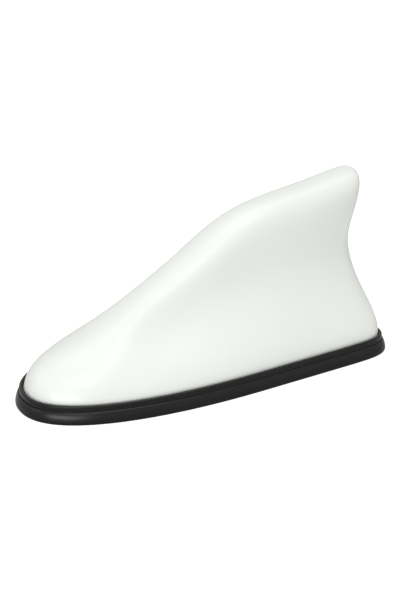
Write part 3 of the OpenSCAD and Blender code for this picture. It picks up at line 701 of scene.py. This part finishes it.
def coil_tree():
    """A wire wound up a rod, with a straight lead at each end"""
    tree, get, give = geometry_tree("Wound coil", [
        ("Radius", "NodeSocketFloat", 0.004), ("Wire", "NodeSocketFloat", 0.0004),
        ("Turns", "NodeSocketFloat", 10.0), ("Height", "NodeSocketFloat", 0.02),
        ("Lead", "NodeSocketFloat", 0.002), ("Place", "NodeSocketVector", None)])
    spiral = helix(tree, get["Radius"], get["Turns"], get["Height"], steps=40)
    strands = [wire(tree, spiral, get["Wire"], WIRE_SIDES)]
    below = worked(tree, "MULTIPLY", get["Lead"], -1)
    above = worked(tree, "ADD", get["Height"], get["Lead"])
    for low, high in ((below, 0.0), (get["Height"], above)):
        lead = add(tree, "GeometryNodeCurvePrimitiveLine",
                   Start=vector(tree, get["Radius"], 0, low),
                   End=vector(tree, get["Radius"], 0, high))
        strands.append(wire(tree, lead.outputs["Curve"], get["Wire"], WIRE_SIDES))
    turned = moved(tree, joined(tree, *strands), Rotation=(0, 0, math.pi / 2))
    return close_tree(tree, get, give, moved(tree, turned, Translation=get["Place"]))


def winding_tree():
    """Loops of wire wound through a ring core, on every point"""
    tree, get, give = geometry_tree("Ring windings", [
        ("Ring", "NodeSocketFloat", 0.002), ("Loop", "NodeSocketFloat", 0.001),
        ("Wire", "NodeSocketFloat", 0.0002), ("Loops", "NodeSocketInt", 14)])
    spots = add(tree, "GeometryNodeCurveToPoints", mode="EVALUATED",
                Curve=circle(tree, get["Ring"], get["Loops"])).outputs
    strand = wire(tree, circle(tree, get["Loop"], steps=20), get["Wire"], sides=8)
    ring = set_on(tree, spots["Points"], strand, Rotation=spots["Rotation"])
    return close_tree(tree, get, give, set_on(tree, get["Geometry"], ring))


def boss_tree():
    """Stands a boss on every point and draws its top up to a skin above it"""
    tree, get, give = geometry_tree("Bosses", [
        ("Blank", "NodeSocketObject", None), ("Skin", "NodeSocketObject", None),
        ("Low", "NodeSocketFloat", 0.006), ("Top", "NodeSocketFloat", 0.012)])
    place = add(tree, "GeometryNodeInputPosition").outputs[0]
    x, y, z = add(tree, "ShaderNodeSeparateXYZ", Vector=place).outputs
    half_turn = worked(tree, "MULTIPLY", worked(tree, "LESS_THAN", y, 0.0), math.pi)
    spread = set_on(tree, get["Geometry"], part_of(tree, get["Blank"]),
                    Rotation=vector(tree, 0, 0, half_turn))
    real = add(tree, "GeometryNodeRealizeInstances", Geometry=spread)
    cast = add(tree, "GeometryNodeRaycast", Ray_Length=1.0, Ray_Direction=(0, 0, 1),
               Target_Geometry=part_of(tree, get["Skin"]),
               Source_Position=vector(tree, x, y, get["Low"]))
    raised = add(tree, "GeometryNodeSetPosition", Geometry=real.outputs[0],
                 Selection=worked(tree, "GREATER_THAN", z, get["Top"]),
                 Position=cast.outputs["Hit Position"])
    return close_tree(tree, get, give, raised.outputs["Geometry"])


# What the CAD nodes give

def slot_of(node):
    """The record's material slot of a CAD node"""
    return next(p["material_slot"] for p in frame["record"]["subparts"] if p["node"] == node)


def islands(node):
    """Lowest and highest corner of each separate solid of a CAD node"""
    source = frame["nodes"][node]
    work = bmesh.new()
    work.from_mesh(source.data)
    work.transform(source.matrix_world)
    bmesh.ops.remove_doubles(work, verts=work.verts, dist=MERGE)
    left, found = set(work.verts), []
    while left:
        front, group = [left.pop()], []
        while front:
            vert = front.pop()
            group.append(vert.co.copy())
            for edge in vert.link_edges:
                other = edge.other_vert(vert)
                if other in left:
                    left.remove(other)
                    front.append(other)
        found.append([Vector([pick(c[i] for c in group) for i in range(3)])
                      for pick in (min, max)])
    work.free()
    return sorted(found, key=lambda box: tuple(box[0]))


def middle_at(low, high, z):
    """The middle of a box in plan, at a height"""
    return (low.x + high.x) / 2, (low.y + high.y) / 2, z


class AERIAL_OT_make_screws(bpy.types.Operator):
    """Turns and threads the screws and sets them where the CAD screws are"""
    bl_idname = "aerial.make_screws"
    bl_label = "Screws"

    def execute(self, context):
        tree = screw_tree()
        for node in ("cover_screws", "board_screws", "clamp_screws", "carrier_screws"):
            set_screws(tree, node, upside=node != "cover_screws")
        return {"FINISHED"}


def set_screws(tree, node, upside):
    """Screws of one CAD node, with their heads on top where upside says so"""
    boxes = islands(node)
    low, high = boxes[0]
    head = high.x - low.x
    head_h = head * (TOP_HEAD_H if upside else LOW_HEAD_H)
    length = high.z - low.z - head_h
    core = head * CORE_R
    point_l = core * POINT_L
    shank = [(0, -length), (core * POINT_R, -length), (core * SHANK_R, point_l - length),
             (core, 0)]
    blank = lathe("blank", shank + [(head * r, head_h * z) for r, z in HEAD], steps=40)
    spots = [middle_at(a, b, b.z - head_h if upside else a.z + head_h) for a, b in boxes]
    piece = grow("fine_" + node, "zinc_steel", point_mesh(node, spots), tree, Blank=blank,
                 Core=core, Thread=core * THREAD_R, Pitch=core * THREAD_PITCH,
                 Length=length - point_l, Head=head, Head_height=head_h,
                 Turn=(0.0 if upside else math.pi, 0.0, RECESS_TURN))
    clear(blank)
    settle(piece, "zinc_steel", node, crease=38)


class AERIAL_OT_make_coils(bpy.types.Operator):
    """Winds the long coil and the ring coils of the filter"""
    bl_idname = "aerial.make_coils"
    bl_label = "Coils"

    def execute(self, context):
        sizes = context.scene.aerial_coils
        low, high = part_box("coil_element")
        gauge = sizes.wire / 2
        height = high.z - low.z - 2 * sizes.lead
        coil = grow("fine_coil", "copper_wire", bpy.data.meshes.new("coil"), coil_tree(),
                    Radius=(high.y - low.y) / 2 - gauge, Wire=gauge,
                    Turns=float(round(height / sizes.pitch)), Height=height, Lead=sizes.lead,
                    Place=middle_at(low, high, low.z + sizes.lead))
        settle(coil, "copper_wire", "coil_element")
        make_rings(sizes.ring_wire / 2, sizes.ring_loops)
        return {"FINISHED"}


def make_rings(strand, loops):
    """Ring coils of the filter: windings of strand's radius, and the cores in them"""
    boxes = islands("filter_coils")
    middles = [(a + b) / 2 for a, b in boxes]
    core_t = boxes[0][1].z - boxes[0][0].z
    ring = (boxes[0][1].x - boxes[0][0].x - core_t) / 2
    windings = grow("ring_windings", "copper_wire", point_mesh("ring spots", middles),
                    winding_tree(), Ring=ring, Loop=core_t / 2 - strand, Wire=strand,
                    Loops=loops)
    settle(windings, "copper_wire", "filter_coils")
    core_r = core_t / 2 - 2 * strand
    section = [(core_r * math.cos(a), core_r * math.sin(a))
               for a in np.linspace(0, 2 * np.pi, CORE_SIDES + 1)[:-1]]
    faces, points = [], []
    for middle in middles:
        grid = np.array([[(middle.x + (ring + r) * np.cos(a),
                           middle.y + (ring + r) * np.sin(a), middle.z + z)
                          for r, z in section + section[:1]]
                         for a in np.linspace(0, 2 * np.pi, CORE_STEPS + 1)])
        faces += grid_faces(*grid.shape[:2], start=len(points)).tolist()
        points += grid.reshape(-1, 3).tolist()
    settle(mesh_object("ring_cores", points, faces), "ferrite", "filter_coils")


class AERIAL_OT_make_cover(bpy.types.Operator):
    """Builds the painted fin as a smooth moulded shell"""
    bl_idname = "aerial.make_cover"
    bl_label = "Painted fin"

    def execute(self, context):
        wall = context.scene.aerial_fin.wall
        outer = fin_skin(0, cap_steps=22, flank_steps=26)
        inner = fin_skin(wall, cap_steps=10, flank_steps=12)
        rows, wide = outer.shape[:2]
        narrow = inner.shape[1]
        n = rows * wide
        points = np.concatenate([outer.reshape(-1, 3), inner.reshape(-1, 3)])
        i = np.arange(rows - 1)
        near = np.stack([i * wide, n + i * narrow, n + (i + 1) * narrow, (i + 1) * wide], 1)
        a, b = i * wide + wide - 1, n + i * narrow + narrow - 1
        far = np.stack([a, a + wide, b + narrow, b], 1)
        faces = np.concatenate([grid_faces(rows, wide), near, far,
                                grid_faces(rows, narrow, n, turned=True)])
        settle(mesh_object("fin_shell", points, faces), "white_paint", "fin_cover")
        make_bosses(wall)
        return {"FINISHED"}


def make_bosses(wall):
    """Bosses for the cover's screws, with a web each out to the wall, up to the crown"""
    bosses = bpy.context.scene.aerial_bosses
    middle = fin_skin(wall / 2, cap_steps=8, flank_steps=12)
    skin = mesh_object("skin", middle.reshape(-1, 3), grid_faces(*middle.shape[:2]))
    low, high, web = bosses.seat_z, bosses.seat_z + 3 * bosses.pilot_l, bosses.web_t / 2
    round_r, bore_r = bosses.boss_d / 2, bosses.pilot_d / 2
    ceiling = low + bosses.pilot_l
    bevel = bosses.web_t / 8
    blank = lathe("blank", [
        (0, ceiling), (bore_r, ceiling), (bore_r, low + bevel), (bore_r + bevel, low),
        (round_r - bevel, low), (round_r, low + bevel), (round_r, high), (round_r * 0.6, high),
        (0, high)], steps=48)
    loop = [(-web, bosses.web_z), (web, bosses.web_z), (web, high), (-web, high)]
    grid = np.array([[(x, y, z) for x, z in loop + loop[:1]]
                     for y in np.linspace(0, bosses.web_l, WEB_STEPS + 1)])
    rows, columns = grid.shape[:2]
    near_end = np.arange(4)
    far_end = near_end[::-1] + (rows - 1) * columns
    fin_web = mesh_object("web", grid.reshape(-1, 3), np.concatenate(
        [grid_faces(rows, columns, turned=True), [near_end], [far_end]]))
    work = bmesh.new()
    for part in (blank, fin_web):
        work.from_mesh(part.data)
    work.to_mesh(blank.data)
    work.free()
    spots = [middle_at(a, b, 0) for a, b in islands("cover_screws")]
    piece = grow("cover_bosses", "white_paint", point_mesh("boss spots", spots), boss_tree(),
                 Blank=blank, Skin=skin, Low=bosses.web_z, Top=(ceiling + high) / 2)
    clear(blank, fin_web, skin)
    settle(piece, "white_paint", "fin_cover")


class AERIAL_OT_make_skirt(bpy.types.Operator):
    """Sweeps the rubber skirt's section round the fin's foot"""
    bl_idname = "aerial.make_skirt"
    bl_label = "Rubber skirt"

    def execute(self, context):
        outline = point_mesh("foot outline", foot_loop(steps=300, out=0), ring=True)
        section = new_object("section", point_mesh("section", [
            (out, -z, 0) for out, z in skirt_section()], ring=True))
        piece = grow("skirt", "black_rubber", outline, sweep_tree(), Section=section)
        clear(section)
        settle(piece, "black_rubber", "rubber_skirt", crease=50)
        return {"FINISHED"}


def skirt_section():
    """Points of the skirt's section: distance out from the fin's foot, and height"""
    skirt = bpy.context.scene.aerial_skirt
    lip = skirt.lip_t
    wide, low = ROLL_OUT - lip, skirt.roll_low
    under = np.radians(np.linspace(-90, 0, 7))
    over = np.radians(np.linspace(6, 70, 14))
    roll = [(ROLL_OUT - low / 2 * (1 - math.cos(t)), low + low * math.sin(t)) for t in under]
    roll += [(lip + wide * math.cos(t) ** ROLL_POWER,
              low + (skirt.roll_h - low) * math.sin(t) ** ROLL_POWER) for t in over]
    groove = [(lip + out * MM, skirt.roll_h + up * MM) for out, up in GROOVE]
    crown = [(lip - BEAD + BEAD * math.cos(t), LIP_H - BEAD + BEAD * math.sin(t))
             for t in np.radians(np.linspace(0, 120, 9))]
    crown.append((skirt.gap, LIP_H - skirt.lip_dip))
    return ([(-skirt.floor_in, RIM_Z), (-skirt.floor_in, 0.0)] + roll + groove + crown
            + [(skirt.gap, RIM_Z)])


class AERIAL_OT_dress_inside(bpy.types.Operator):
    """Gives the CAD parts that keep their form the finish of their slot"""
    bl_idname = "aerial.dress_inside"
    bl_label = "Inner parts"

    def execute(self, context):
        for name, node in frame["nodes"].items():
            if not node.hide_render:
                coat_mesh(node.data, slot_of(name))
        return {"FINISHED"}


class AERIAL_OT_set_stage(bpy.types.Operator):
    """Floor, light and camera"""
    bl_idname = "aerial.set_stage"
    bl_label = "Stage"

    def execute(self, context):
        make_floor()
        make_world()
        make_lights()
        make_camera()
        context.scene.view_settings.view_transform = "Standard"
        return {"FINISHED"}


def emptied(holder):
    """The node tree of a material or a world, with no nodes in it"""
    holder.use_nodes = True
    holder.node_tree.nodes.clear()
    return holder.node_tree


def mixed(tree, factor, first, second, output):
    """Mixes two shaders into the tree's output"""
    mix = add(tree, "ShaderNodeMixShader")
    for socket, value in zip(mix.inputs, (factor, first, second)):
        link(tree, value, socket)
    link(tree, mix.outputs[0], add(tree, output).inputs[0])


def make_floor():
    """A wide white floor that shows as the page's white and keeps the shadow.

    It is open under the skirt, so that the underside can be seen from below. Its glow is for
    the camera alone, so the rubber mirrors only the floor's own lit surface."""
    roll_low = bpy.context.scene.aerial_skirt.roll_low
    inner = foot_loop(steps=128, out=ROLL_OUT - roll_low / 2)
    outer = inner * FLOOR_R / np.linalg.norm(inner, axis=1, keepdims=True)
    n = len(inner)
    data = bpy.data.meshes.new("floor")
    data.from_pydata([tuple(p) for p in np.concatenate([inner, outer])], [],
                     [(n + i, n + (i + 1) % n, (i + 1) % n, i) for i in range(n)])
    floor = new_object("floor", data)
    made = bpy.data.materials.new("Floor")
    tree = emptied(made)
    matt = add(tree, "ShaderNodeBsdfDiffuse", Color=(0.8, 0.8, 0.8, 1)).outputs[0]
    both = add(tree, "ShaderNodeAddShader")
    link(tree, matt, both.inputs[0])
    link(tree, add(tree, "ShaderNodeEmission", Strength=FLOOR_GLOW).outputs[0], both.inputs[1])
    path = add(tree, "ShaderNodeLightPath").outputs
    mixed(tree, path["Is Camera Ray"], matt, both.outputs[0], "ShaderNodeOutputMaterial")
    data.materials.append(made)


def make_world():
    """Even light from all round, and plain white where the camera or a gloss shows it"""
    world = bpy.data.worlds.new("Studio")
    tree = emptied(world)
    light, page = [add(tree, "ShaderNodeBackground", Color=(1, 1, 1, 1),
                       Strength=strength).outputs[0]
                   for strength in (bpy.context.scene.aerial_stage.sky, 1.0)]
    path = add(tree, "ShaderNodeLightPath").outputs
    seen = worked(tree, "MAXIMUM", path["Is Camera Ray"], path["Is Glossy Ray"])
    mixed(tree, seen, light, page, "ShaderNodeOutputWorld")
    bpy.context.scene.world = world


def aim_at(item, place, target):
    """Places a light or camera and turns it to a target"""
    item.location = place
    item.rotation_euler = (target - item.location).to_track_quat("-Z", "Y").to_euler()


def make_lights():
    """Soft lights that face the middle of the fin"""
    stage = bpy.context.scene.aerial_stage
    for name, (place, size) in LAMPS.items():
        lamp = bpy.data.lights.new(name, "AREA")
        lamp.shape = "RECTANGLE"
        lamp.size, lamp.size_y = size
        lamp.energy = getattr(stage, name + "_power")
        aim_at(new_object(name, lamp), place, Vector((0, 0, FIN_H / 2)))


def make_camera():
    """A long lens at the photograph's angle"""
    stage = bpy.context.scene.aerial_stage
    a, e = math.radians(stage.azimuth), math.radians(stage.elevation)
    ahead = Vector((math.sin(a) * math.cos(e), math.cos(a) * math.cos(e), -math.sin(e)))
    right = Vector((math.cos(a), -math.sin(a), 0))
    up = right.cross(ahead)
    aim = (right * (PHOTO_W / 2 - BASE_PX[0]) + up * (BASE_PX[1] - PHOTO_H / 2)) / stage.scale
    data = bpy.data.cameras.new("camera")
    data.sensor_width = SENSOR
    data.lens = stage.scale * stage.distance / PHOTO_H * SENSOR
    data.clip_start, data.clip_end = 0.05, 30.0
    camera = new_object("camera", data)
    aim_at(camera, -ahead * stage.distance, aim)
    bpy.context.scene.camera = camera


OPERATORS = (AERIAL_OT_make_cover, AERIAL_OT_make_skirt, AERIAL_OT_make_screws,
             AERIAL_OT_make_coils, AERIAL_OT_dress_inside, AERIAL_OT_set_stage)
GROUPS = (("aerial_fin", FinSizes), ("aerial_bosses", BossSizes),
          ("aerial_skirt", SkirtSizes), ("aerial_coils", CoilSizes),
          ("aerial_finishes", Finishes), ("aerial_stage", StageSettings))


class AERIAL_PT_panel(bpy.types.Panel):
    """Lists the aerial's pieces in the sidebar"""
    bl_idname = "AERIAL_PT_panel"
    bl_label = "Shark fin aerial"
    bl_space_type = "VIEW_3D"
    bl_region_type = "UI"
    bl_category = "Aerial"

    def draw(self, context):
        for kind in OPERATORS:
            self.layout.operator(kind.bl_idname)
        for name, group in GROUPS:
            box = self.layout.box()
            for key in group.__annotations__:
                box.prop(getattr(context.scene, name), key)


def register():
    for name, group in GROUPS:
        bpy.utils.register_class(group)
        setattr(bpy.types.Scene, name, PointerProperty(type=group))
    for kind in OPERATORS + (AERIAL_PT_panel,):
        bpy.utils.register_class(kind)


def unregister():
    for kind in (AERIAL_PT_panel,) + OPERATORS[::-1]:
        bpy.utils.unregister_class(kind)
    for name, group in GROUPS[::-1]:
        delattr(bpy.types.Scene, name)
        bpy.utils.unregister_class(group)


def main():
    register()
    bpy.ops.aerial.set_stage()
    bpy.ops.aerial.make_cover()
    bpy.ops.aerial.make_skirt()
    bpy.ops.aerial.make_screws()
    bpy.ops.aerial.make_coils()
    bpy.ops.aerial.dress_inside()


if __name__ == "__main__":
    main()
